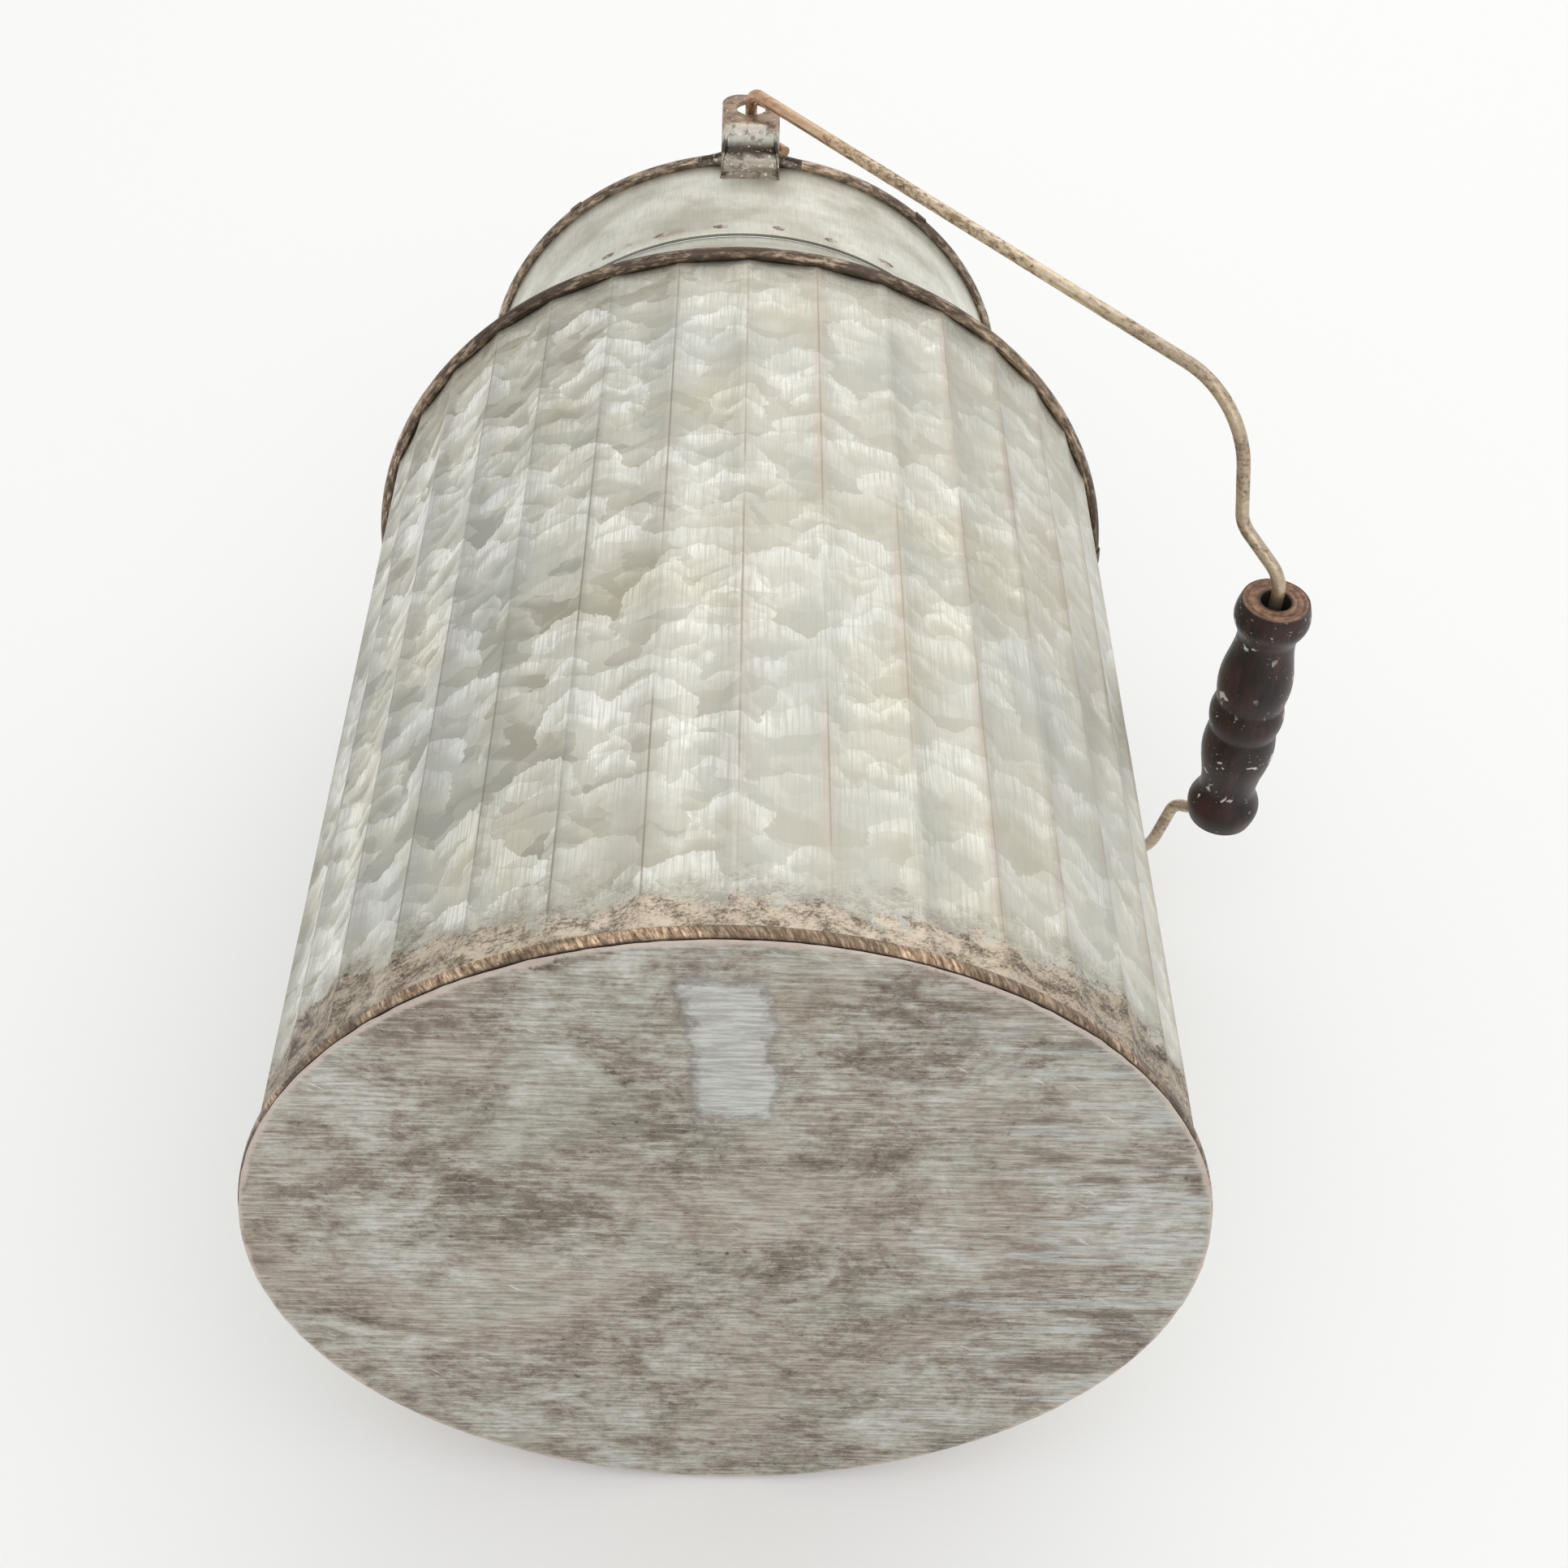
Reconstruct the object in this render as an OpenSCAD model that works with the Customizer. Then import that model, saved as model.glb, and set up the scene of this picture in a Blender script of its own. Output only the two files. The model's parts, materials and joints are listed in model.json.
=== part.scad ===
// Fluted milk pail: a ribbed sheet-metal body, a sloping shoulder, an upright mouth with a wired
// rim, and a wire bail with a turned wooden grip that swings on two ears.
// Millimetres. The origin is the centre of the underside and +Z runs up the pail's axis.
// The ears stand at -Y (front) and +Y (back). The bail is drawn swung down on the +X side.

/* [Body] */
// Radius over the sharp ridges between the flutes
body_r = 113.6; // [105:0.2:120]
// Height of the wire bead that joins body and shoulder
body_h = 258.4; // [200:0.2:300]
// Number of hollow flutes round the body
flute_count = 36; // [24:1:48]
// Depth of a flute below its ridges
flute_depth = 1.7; // [1:0.1:2.4]
// Thickness of the sheet metal
sheet = 0.9; // [0.7:0.1:1.1]

/* [Base] */
// Outer radius of the hem band round the foot
hem_r = 115; // [114.6:0.1:116]
// Height of the top of the hem band
hem_h = 4.6; // [3.5:0.1:8]
// Height of the flange that holds the bottom sheet inside the body
pan_flange_h = 9; // [6:0.5:20]

/* [Shoulder and mouth] */
// Outer radius of the neck
neck_r = 86.9; // [80:0.1:90]
// Height at which the slope meets the neck
neck_z = 311; // [300:0.5:320]
// Radius of the curve between slope and neck
neck_blend_r = 14; // [6:1:24]
// Height of the collar's lower edge
collar_z = 314.5; // [312:0.5:330]
// Height of the top of the neck inside the collar
neck_top_z = 342; // [335:1:350]
// Height of the centre of the rim wire
rim_z = 359.6; // [350:0.2:370]

/* [Beads and rim] */
// Radius of the wire in the shoulder bead
bead_wire_r = 2.1; // [1.6:0.1:2.4]
// Radius from the axis to the centre of the shoulder bead
bead_r = 114.2; // [114:0.1:115]
// Radius of the rolled rim wire
rim_wire_r = 2.1; // [1.8:0.1:2.3]
// Half of the angle that the rim length at each ear takes up
rim_ear_half_angle = 40; // [25:1:60]

/* [Ears] */
// Width of an ear strap
ear_w = 19; // [18:0.5:24]
// Thickness of an ear strap
ear_t = 1.6; // [1.2:0.1:1.8]
// Radius of the hole that the bail hooks through
ear_hole_r = 5.1; // [4:0.1:5.5]
// Inner radius of the upright tab
tab_r = 95.8; // [95.4:0.1:96.4]
// Height of the bail's swing axis
pivot_z = 378.5; // [378:0.1:382]

/* [Bail] */
// Radius of the bail wire
wire_r = 2; // [1.6:0.1:2.2]
// Swing of the bail from upright, towards +X
bail_angle = 139; // [0:1:148]
// Distance from the swing axis to the axis of the grip
bail_reach = 239.5; // [235:0.5:245]
// Half width between the arms at the swing axis
arm_y = 102.9; // [102:0.1:104]
// Half width where the wire leaves the grip's line
seat_y = 49; // [48:0.5:52]

/* [Grip] */
// Length of the turned grip
grip_l = 90; // [88:1:92]
// Radius of the grip over its end rings
grip_r = 11.3; // [10:0.1:12]
// Radius of the coves near the ends
grip_neck_r = 8.8; // [7:0.1:9.5]
// Distance that the grip has slid along its wire
grip_shift = 4; // [0:0.5:4]
// Radius of the hole in the grip's end faces
grip_mouth_r = 4.5; // [4.4:0.1:5]

/* [Hidden] */
$fn = 96;

zinc = "#b9bfb2";
aged_zinc = "#8e8a80";
bronze = "#9a7a58";
dark_wood = "#2a1c17";

// Flutes: each is a cylinder that bites the round body from outside and meets its neighbours
// on the ridges.
flute_half_angle = 180 / flute_count;
ridge_half_chord = body_r * sin(flute_half_angle);
ridge_reach = body_r * cos(flute_half_angle);
flute_floor_r = body_r - flute_depth;
flute_rise = ridge_reach - flute_floor_r;
flute_r = (pow(ridge_half_chord, 2) + pow(flute_rise, 2)) / (2 * flute_rise);
flute_centre_r = flute_floor_r + flute_r;
inner_r = flute_floor_r - sheet;

// Shoulder outline
slope_foot = [body_r - 1, body_h + 0.6];
flange_h = 0.8;
bead_clearance = 0.02;
slope_vector = [neck_r - slope_foot[0], neck_z - slope_foot[1]];
slope_angle = atan2(slope_vector[1], slope_vector[0]);
neck_turn = slope_angle - 90;
neck_tangent = neck_blend_r * tan(neck_turn / 2);
blend_steps = 8;

// Mouth
collar_in_r = neck_r;
collar_out_r = collar_in_r + sheet;
rim_r = collar_out_r + 0.7;

// Ears
strap_foot_z = rim_z - 9;
strap_bend_z = rim_z - 4.7;
stem_in_r = rim_r + rim_wire_r;
stem_low_z = rim_z - 1.8;
stem_high_z = rim_z + 3;
tab_low_z = rim_z + 7.8;
tab_top_z = pivot_z + 8.9;
tab_clip = 4.5;
solder_z = strap_foot_z - 3;
solder_half_angle = 7.4;

// Bail: half of the wire's centreline as [distance from the mid plane, distance from the swing
// axis], from the grip out to the cut end of the hook, and the bend radius at each corner.
hook_y = arm_y - 14.4;
hook_leg = 17.5;
half_route = [[seat_y, bail_reach],
              [seat_y + 9.8, bail_reach - 17.5],
              [arm_y - 5, bail_reach - 26],
              [arm_y, 0],
              [hook_y, 0],
              [hook_y, hook_leg]];
half_bends = [9, 8, 27, 4, 4, 0];
rod_overlap = 0.2;
rod_thinning = 0.01;
last_corner = len(half_route) - 1;
bail_route = concat([for (i = [last_corner:-1:0]) [-half_route[i][0], half_route[i][1]]],
                    half_route);
bail_bends = concat([for (i = [last_corner:-1:0]) half_bends[i]], half_bends);

// Grip
wire_gap = 0.08;
grip_mouth_depth = 8;
grip_steps = 6;
// Turned outline from the middle to an end face, as [distance from the middle, radius, cut in
// to a sharp corner]. The others are crowns and hollows that run through smoothly.
grip_stations = [[0, grip_r + 0.1, false], [5.8, grip_r - 1, true], [13.5, grip_r - 0.1, false],
                 [31, grip_neck_r, false], [grip_l / 2 - 5.8, grip_r, false],
                 [grip_l / 2, grip_r - 1.2, true]];

function unit(v) = v / norm(v);
function left_of(v) = [-v[1], v[0]];
function turn_between(a, b) = atan2(a[0] * b[1] - a[1] * b[0], a[0] * b[0] + a[1] * b[1]);
function heading(points, i) = unit(points[i + 1] - points[i]);

// Distance from corner i to the ends of its bend
function setback(points, bends, i) =
    (i == 0 || i == len(points) - 1) ? 0
    : bends[i] * tan(abs(turn_between(heading(points, i - 1), heading(points, i))) / 2);

// Radius from station a to station b, with t from 0 to 1: flat where an end is smooth
function turned_radius(a, b, t) =
    a[1] + (b[1] - a[1]) * (a[2] ? sin(90 * t) : b[2] ? 1 - cos(90 * t) : (1 - cos(180 * t)) / 2);

// Round bar along a flat route of straights and arcs. The straights are a hair thinner and run
// a little way into the arcs, so that each joint lies inside one flat end face.
module bent_rod(points, bends, r) {
    last = len(points) - 1;
    for (i = [0:last - 1]) {
        dir = heading(points, i);
        start_run = i == 0 ? 0 : setback(points, bends, i) - rod_overlap;
        end_run = i == last - 1 ? 0 : setback(points, bends, i + 1) - rod_overlap;
        from = points[i] + dir * start_run;
        translate([from[0], from[1], 0])
            rotate([0, 90, atan2(dir[1], dir[0])])
                cylinder(h = norm(points[i + 1] - points[i]) - start_run - end_run,
                         r = r - rod_thinning);
    }
    for (i = [1:last - 1]) {
        before = heading(points, i - 1);
        turn = turn_between(before, heading(points, i));
        side = turn > 0 ? 1 : -1;
        start = points[i] - before * setback(points, bends, i);
        centre = start + left_of(before) * side * bends[i];
        from_angle = atan2(start[1] - centre[1], start[0] - centre[0]);
        translate([centre[0], centre[1], 0])
            rotate([0, 0, turn > 0 ? from_angle : from_angle + turn])
                rotate_extrude(angle = abs(turn)) translate([bends[i], 0]) circle(r = r);
    }
}

module ring_of_wire(radius, r) {
    rotate_extrude() translate([radius, 0]) circle(r = r);
}

// Wire arc on the rim, from angle a through a sweep
module rim_arc(a, sweep) {
    translate([0, 0, rim_z]) rotate([0, 0, a])
        rotate_extrude(angle = sweep) translate([rim_r, 0]) circle(r = rim_wire_r);
}

// Section of the fluted tube. Its inner face follows the flutes at the depth inset.
module fluted_section(inset) {
    difference() {
        circle(r = body_r - inset);
        for (i = [0:flute_count - 1])
            rotate((2 * i + 1) * flute_half_angle)
                translate([flute_centre_r, 0]) circle(r = flute_r + inset);
    }
}

module bottom_disc() {
    color(aged_zinc) {
        cylinder(h = sheet, r = hem_r - 0.4);
        translate([0, 0, sheet]) difference() {
            cylinder(h = pan_flange_h, r = inner_r);
            translate([0, 0, -1]) cylinder(h = pan_flange_h + 2, r = inner_r - sheet);
        }
    }
}

module base_hem() {
    crown = hem_r - body_r;
    color(bronze) rotate_extrude() difference() {
        translate([body_r, sheet]) square([crown, hem_h - sheet]);
        translate([hem_r - crown / 2, hem_h - crown / 2]) difference() {
            square([crown, crown]);
            circle(r = crown / 2);
        }
    }
}

module body_shell() {
    color(zinc) difference() {
        translate([0, 0, sheet]) linear_extrude(height = slope_foot[1] - sheet) difference() {
            fluted_section(0);
            fluted_section(sheet);
        }
        translate([0, 0, body_h]) ring_of_wire(bead_r, bead_wire_r + bead_clearance);
    }
}

// Lap seam that closes the body sheet, on the inside behind the back ear
module body_seam() {
    seam_w = 9;
    low = sheet + pan_flange_h + 1;
    high = body_h - 14;
    color(zinc) intersection() {
        translate([-seam_w / 2, 0, low]) cube([seam_w, body_r, high - low]);
        difference() {
            cylinder(h = body_h, r = inner_r);
            cylinder(h = body_h, r = inner_r - sheet);
        }
    }
}

module shoulder_bead() {
    color(aged_zinc) translate([0, 0, body_h]) ring_of_wire(bead_r, bead_wire_r);
}

// Dab of solder where the ends of the bead wire meet
module bead_joint() {
    joint_angle = -5;
    joint_sweep = 2.4;
    color(aged_zinc) translate([0, 0, body_h]) rotate([0, 0, joint_angle])
        rotate_extrude(angle = joint_sweep) intersection() {
            translate([bead_r, 0]) difference() {
                circle(r = bead_wire_r + 0.35);
                circle(r = bead_wire_r);
            }
            translate([bead_r, -bead_r / 2]) square([bead_r, bead_r]);
        }
}

// One skin of the shoulder, from the slope's foot to the end of its curve, inset from the outside
function shoulder_skin(inset) =
    let (centre = [neck_r + neck_blend_r, neck_z + neck_tangent])
    concat([slope_foot - [inset, 0]],
           [for (i = [0:blend_steps])
                let (a = neck_turn * (1 - i / blend_steps))
                centre - (neck_blend_r + inset) * [cos(a), sin(a)]]);

// Sloping shoulder. Its foot has a narrow flange inwards, which stands on the skirt.
module shoulder() {
    outer = shoulder_skin(0);
    inner = shoulder_skin(sheet);
    flange_in_r = inner_r - sheet;
    color(zinc) difference() {
        union() {
            rotate_extrude() polygon(concat(outer, [for (i = [len(inner) - 1:-1:0]) inner[i]]));
            rotate_extrude() polygon([[flange_in_r, slope_foot[1]], slope_foot,
                                      slope_foot + [-sheet, flange_h],
                                      [flange_in_r, slope_foot[1] + flange_h]]);
        }
        translate([0, 0, body_h]) ring_of_wire(bead_r, bead_wire_r + bead_clearance);
    }
}

// Lower edge of the shoulder, turned down inside the body
module shoulder_skirt() {
    skirt_h = 12.6;
    color(zinc) translate([0, 0, slope_foot[1] - skirt_h]) difference() {
        cylinder(h = skirt_h, r = inner_r);
        translate([0, 0, -1]) cylinder(h = skirt_h + 2, r = inner_r - sheet);
    }
}

// Upper edge of the shoulder, turned up inside the collar
module neck() {
    neck_low_z = neck_z + neck_tangent;
    color(zinc) translate([0, 0, neck_low_z]) difference() {
        cylinder(h = neck_top_z - neck_low_z, r = neck_r);
        translate([0, 0, -1]) cylinder(h = neck_top_z - neck_low_z + 2, r = neck_r - sheet);
    }
}

module collar() {
    color(zinc) rotate_extrude() difference() {
        translate([collar_in_r, collar_z]) square([sheet, rim_z - collar_z]);
        translate([rim_r, rim_z]) circle(r = rim_wire_r);
    }
}

// Low weld spots round the collar, just above its lower edge
module collar_spot_welds() {
    spot_count = 30;
    spot_r = 2;
    spot_h = 0.3;
    spot_z = collar_z + 4.5;
    color(aged_zinc) for (i = [0:spot_count - 1])
        rotate([0, 0, i * 360 / spot_count]) translate([collar_out_r, 0, spot_z])
            rotate([0, 90, 0]) cylinder(h = spot_h, r = spot_r);
}

module rim_front() {
    color(aged_zinc) rim_arc(-90 - rim_ear_half_angle, 2 * rim_ear_half_angle);
}

module rim_back() {
    color(aged_zinc) rim_arc(90 - rim_ear_half_angle, 2 * rim_ear_half_angle);
}

module rim_left() {
    color(aged_zinc) rim_arc(90 + rim_ear_half_angle, 180 - 2 * rim_ear_half_angle);
}

module rim_right() {
    color(aged_zinc) rim_arc(rim_ear_half_angle - 90, 180 - 2 * rim_ear_half_angle);
}

// Thin solder sleeves over the four joints of the rim
module rim_joints() {
    sleeve_sweep = 2.6;
    color(aged_zinc) for (side = [-90, 90], end = [-1, 1])
        translate([0, 0, rim_z])
            rotate([0, 0, side + end * rim_ear_half_angle - sleeve_sweep / 2])
                rotate_extrude(angle = sleeve_sweep) intersection() {
                    translate([rim_r, 0]) difference() {
                        circle(r = rim_wire_r + 0.3);
                        circle(r = rim_wire_r);
                    }
                    translate([rim_r, -rim_wire_r / 2]) square([rim_r, 2 * rim_wire_r]);
                }
}

// Bent strap, curved with the mouth: foot on the collar, stem outside the rim, upright tab
module ear() {
    strap = [[collar_out_r, strap_foot_z], [collar_out_r, strap_bend_z],
             [stem_in_r, stem_low_z], [stem_in_r, stem_high_z],
             [tab_r, tab_low_z], [tab_r, tab_top_z],
             [tab_r + ear_t, tab_top_z], [tab_r + ear_t, tab_low_z - 0.7],
             [stem_in_r + ear_t, stem_high_z - 0.7], [stem_in_r + ear_t, stem_low_z - 0.7],
             [collar_out_r + ear_t, strap_bend_z - 0.7], [collar_out_r + ear_t, strap_foot_z]];
    half = ear_w / 2;
    strap_sweep = 20;
    color(aged_zinc) difference() {
        intersection() {
            rotate([0, 0, -90 - strap_sweep / 2])
                rotate_extrude(angle = strap_sweep) polygon(strap);
            rotate([90, 0, 0]) linear_extrude(height = tab_r + 2 * ear_t)
                polygon([[-half, strap_foot_z], [half, strap_foot_z],
                         [half, tab_top_z - tab_clip], [half - tab_clip, tab_top_z],
                         [tab_clip - half, tab_top_z], [-half, tab_top_z - tab_clip]]);
        }
        translate([0, 0, pivot_z]) rotate([90, 0, 0])
            cylinder(h = tab_r + 10 * ear_t, r = ear_hole_r);
    }
}

module ear_front() {
    ear();
}

module ear_back() {
    rotate([0, 0, 180]) ear();
}

// Solder fillet along the foot of an ear
module ear_solder() {
    color(aged_zinc) rotate([0, 0, -90 - solder_half_angle])
        rotate_extrude(angle = 2 * solder_half_angle)
            polygon([[collar_out_r, solder_z], [collar_out_r + 0.4, solder_z + 1.2],
                     [collar_out_r + ear_t, strap_foot_z], [collar_out_r, strap_foot_z]]);
}

module ear_front_solder() {
    ear_solder();
}

module ear_back_solder() {
    rotate([0, 0, 180]) ear_solder();
}

// Places a shape drawn upright in the bail's own plane, swing axis on local X, into the pail
module on_bail() {
    translate([0, 0, pivot_z]) rotate([0, bail_angle, 0]) rotate([90, 0, 90]) children();
}

module bail() {
    color(aged_zinc) on_bail() bent_rod(bail_route, bail_bends, wire_r);
}

function grip_outline() =
    [for (k = [0:len(grip_stations) - 2], i = [0:grip_steps])
        if (k == 0 || i > 0)
            let (a = grip_stations[k], b = grip_stations[k + 1], t = i / grip_steps)
            [a[0] + (b[0] - a[0]) * t, turned_radius(a, b, t)]];

module grip() {
    half = grip_outline();
    last = len(half) - 1;
    outline = concat([for (i = [last:-1:1]) [half[i][1], -half[i][0]]],
                     [for (p = half) [p[1], p[0]]]);
    mouth = grip_l / 2 - grip_mouth_depth;
    bore = wire_r + wire_gap;
    color(dark_wood) on_bail() translate([grip_shift, bail_reach, 0]) rotate([0, 90, 0])
        difference() {
            rotate_extrude() polygon(concat([[0, -grip_l / 2]], outline, [[0, grip_l / 2]]));
            translate([0, 0, -grip_l]) cylinder(h = 2 * grip_l, r = bore);
            for (end = [0, 1]) mirror([0, 0, end])
                translate([0, 0, mouth]) cylinder(h = grip_l, r = grip_mouth_r);
        }
}

bottom_disc();
base_hem();
body_shell();
body_seam();
shoulder_bead();
bead_joint();
shoulder_skirt();
shoulder();
neck();
collar();
collar_spot_welds();
rim_front();
rim_back();
rim_left();
rim_right();
rim_joints();
ear_front();
ear_back();
ear_front_solder();
ear_back_solder();
bail();
grip();
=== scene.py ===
"""Looks of the milk pail: aged galvanised sheet, bronze hem, worn wire and a varnished grip.

Metres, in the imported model's frame: the pail stands on z = 0 with its axis on +Z, the ears are
at -Y and +Y, and the bail is swung down towards +X.
"""
import json
import math

import bpy
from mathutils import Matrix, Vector, geometry, noise


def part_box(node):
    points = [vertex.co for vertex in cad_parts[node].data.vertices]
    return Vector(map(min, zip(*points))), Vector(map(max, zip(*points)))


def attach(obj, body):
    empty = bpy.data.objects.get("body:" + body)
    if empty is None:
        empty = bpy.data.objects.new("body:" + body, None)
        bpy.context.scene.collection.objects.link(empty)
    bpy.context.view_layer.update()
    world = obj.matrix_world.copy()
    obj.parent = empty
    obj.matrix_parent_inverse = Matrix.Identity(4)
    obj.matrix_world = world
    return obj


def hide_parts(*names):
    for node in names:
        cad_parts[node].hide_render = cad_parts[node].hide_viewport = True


MM = 0.001

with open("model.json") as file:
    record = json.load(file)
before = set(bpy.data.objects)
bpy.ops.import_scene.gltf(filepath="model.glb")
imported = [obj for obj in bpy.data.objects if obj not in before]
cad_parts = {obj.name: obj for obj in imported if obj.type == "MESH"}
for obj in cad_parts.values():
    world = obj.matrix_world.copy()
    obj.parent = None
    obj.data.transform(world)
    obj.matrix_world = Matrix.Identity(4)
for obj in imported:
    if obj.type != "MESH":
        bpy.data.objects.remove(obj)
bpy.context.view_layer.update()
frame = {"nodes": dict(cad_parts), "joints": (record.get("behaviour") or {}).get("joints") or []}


# ---------------------------------------------------------------- dimensions from the frame

def radius_of(node):
    """Outer radius of a round node about the pail's axis."""
    return (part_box(node)[1].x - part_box(node)[0].x) / 2


SHEET = 0.9 * MM
FLUTES = 36
FLUTE_DEPTH = 1.7 * MM
BODY_R = 113.6 * MM
BODY_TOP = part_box("body_shell")[1].z
HEM_R = radius_of("base_hem")
HEM_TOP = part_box("base_hem")[1].z
BEAD_WIRE_R = (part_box("shoulder_bead")[1].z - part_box("shoulder_bead")[0].z) / 2
BEAD_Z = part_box("shoulder_bead")[0].z + BEAD_WIRE_R
BEAD_R = radius_of("shoulder_bead") - BEAD_WIRE_R
RIM_WIRE_R = (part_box("rim_front")[1].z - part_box("rim_front")[0].z) / 2
RIM_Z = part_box("rim_front")[0].z + RIM_WIRE_R
RIM_R = -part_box("rim_front")[0].y - RIM_WIRE_R
COLLAR_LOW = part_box("collar")[0].z
COLLAR_R = RIM_R - 0.7 * MM
NECK_R = COLLAR_R - SHEET
NECK_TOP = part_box("shoulder")[1].z
NECK_CORNER_Z = 311 * MM
NECK_BLEND_R = 14 * MM
EAR_HALF_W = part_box("ear_front")[1].x
EAR_T = 1.6 * MM
EAR_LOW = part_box("ear_front")[0].z
EAR_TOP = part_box("ear_front")[1].z
TAB_R = -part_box("ear_front")[0].y - EAR_T
EAR_HOLE_R = 5.1 * MM
JOINTS = {joint["name"]: joint for joint in frame["joints"]}
PIVOT = Vector(JOINTS["bail_swing"]["pos_m"])
GRIP_CENTRE = Vector(JOINTS["grip_spin"]["pos_m"])
GRIP_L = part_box("grip")[1].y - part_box("grip")[0].y
WIRE_R = 2.0 * MM
WELD_RISE = 4.5 * MM
WELD_COUNT = 30
CENTRE_R = 0.5 * MM


# ---------------------------------------------------------------- shader helper

class Shader:
    """A procedural material, built with short calls that add and link nodes."""

    def __init__(self, name):
        self.material = bpy.data.materials.new(name)
        self.material.use_nodes = True
        self.tree = self.material.node_tree
        self.bsdf = self.tree.nodes["Principled BSDF"]
        self.place = self.add("TexCoord").outputs["Object"]

    def add(self, kind, **settings):
        node = self.tree.nodes.new("ShaderNode" + kind)
        for key, value in settings.items():
            setattr(node, key, value)
        return node

    def feed(self, socket, value):
        if isinstance(value, bpy.types.NodeSocket):
            self.tree.links.new(value, socket)
        else:
            socket.default_value = value

    def math(self, operation, a, b=0.0, clamp=False):
        node = self.add("Math", operation=operation, use_clamp=clamp)
        self.feed(node.inputs[0], a)
        self.feed(node.inputs[1], b)
        return node.outputs[0]

    def times(self, a, b):
        return self.math("MULTIPLY", a, b)

    def plus(self, a, b, clamp=False):
        return self.math("ADD", a, b, clamp)

    def minus(self, a, b):
        return self.math("SUBTRACT", a, b)

    def size(self, a):
        return self.math("ABSOLUTE", a)

    def reach(self, a, b):
        """Length of a vector with two parts."""
        return self.math("SQRT", self.plus(self.times(a, a), self.times(b, b)))

    def weighed(self, a, share, b):
        """Mean of two values, where a has the given share."""
        return self.plus(self.times(a, share), self.times(b, 1 - share))

    def axes(self, vector=None):
        node = self.add("SeparateXYZ")
        self.feed(node.inputs[0], vector or self.place)
        return node.outputs["X"], node.outputs["Y"], node.outputs["Z"]

    def vector(self, x, y, z=0.0):
        node = self.add("CombineXYZ")
        for socket, value in zip(node.inputs, (x, y, z)):
            self.feed(socket, value)
        return node.outputs[0]

    def scaled(self, vector, factors):
        node = self.add("VectorMath", operation="MULTIPLY")
        self.feed(node.inputs[0], vector)
        node.inputs[1].default_value = factors
        return node.outputs[0]

    def shifted(self, vector, offset):
        node = self.add("VectorMath", operation="ADD")
        self.feed(node.inputs[0], vector)
        self.feed(node.inputs[1], offset)
        return node.outputs[0]

    def noise(self, vector, scale, detail=4.0, roughness=0.55, distortion=0.0, out="Fac"):
        node = self.add("TexNoise")
        self.feed(node.inputs["Vector"], vector)
        node.inputs["Scale"].default_value = scale
        node.inputs["Detail"].default_value = detail
        node.inputs["Roughness"].default_value = roughness
        node.inputs["Distortion"].default_value = distortion
        return node.outputs[out]

    def facets(self, vector, scale):
        """Random value for each cell of a cracked pattern with bent edges."""
        bend = self.shifted(self.noise(vector, 1.2 * scale, 2.0, out="Color"), (-0.5, -0.5, -0.5))
        node = self.add("TexVoronoi", voronoi_dimensions="2D")
        self.feed(node.inputs["Vector"], self.shifted(vector, self.scaled(bend, (0.9 / scale,) * 3)))
        node.inputs["Scale"].default_value = scale
        return self.axes(node.outputs["Color"])[0]

    def hashed(self, vector):
        node = self.add("TexWhiteNoise", noise_dimensions="3D")
        self.feed(node.inputs["Vector"], vector)
        return node.outputs["Value"]

    def step(self, value, low, high, out_low=0.0, out_high=1.0):
        """Smooth step from low to high."""
        node = self.add("MapRange", interpolation_type="SMOOTHSTEP")
        self.feed(node.inputs["Value"], value)
        for name, number in zip(("From Min", "From Max", "To Min", "To Max"),
                                (low, high, out_low, out_high)):
            self.feed(node.inputs[name], number)
        return node.outputs["Result"]

    def mix(self, factor, a, b, blend="MIX"):
        node = self.add("Mix", data_type="RGBA", blend_type=blend)
        self.feed(node.inputs["Factor"], factor)
        self.feed(node.inputs[6], rgba(a))
        self.feed(node.inputs[7], rgba(b))
        return node.outputs[2]

    def blend(self, factor, a, b):
        """Number a where factor is 0, and b where it is 1."""
        return self.plus(a, self.times(factor, self.minus(b, a)))

    def ramp(self, value, stops):
        node = self.add("ValToRGB")
        self.feed(node.inputs[0], value)
        ramp = node.color_ramp
        while len(ramp.elements) < len(stops):
            ramp.elements.new(0.5)
        for element, (at, colour) in zip(ramp.elements, stops):
            element.position = at
            element.color = rgba(colour)
        return node.outputs["Color"]

    def surface(self, colour, roughness, metallic, height=None, depth=0.2 * MM, **extra):
        self.feed(self.bsdf.inputs["Base Color"], rgba(colour))
        self.feed(self.bsdf.inputs["Roughness"], roughness)
        self.feed(self.bsdf.inputs["Metallic"], metallic)
        for name, value in extra.items():
            self.feed(self.bsdf.inputs[name.replace("_", " ")], value)
        if height is not None:
            bump = self.add("Bump")
            bump.inputs["Strength"].default_value = 1.0
            bump.inputs["Distance"].default_value = depth
            self.feed(bump.inputs["Height"], height)
            self.feed(self.bsdf.inputs["Normal"], bump.outputs["Normal"])
        return self.material


def rgba(colour):
    """A colour tuple with alpha; sockets pass through."""
    if isinstance(colour, tuple) and len(colour) == 3:
        return (*colour, 1.0)
    return colour


# ---------------------------------------------------------------- materials

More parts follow.
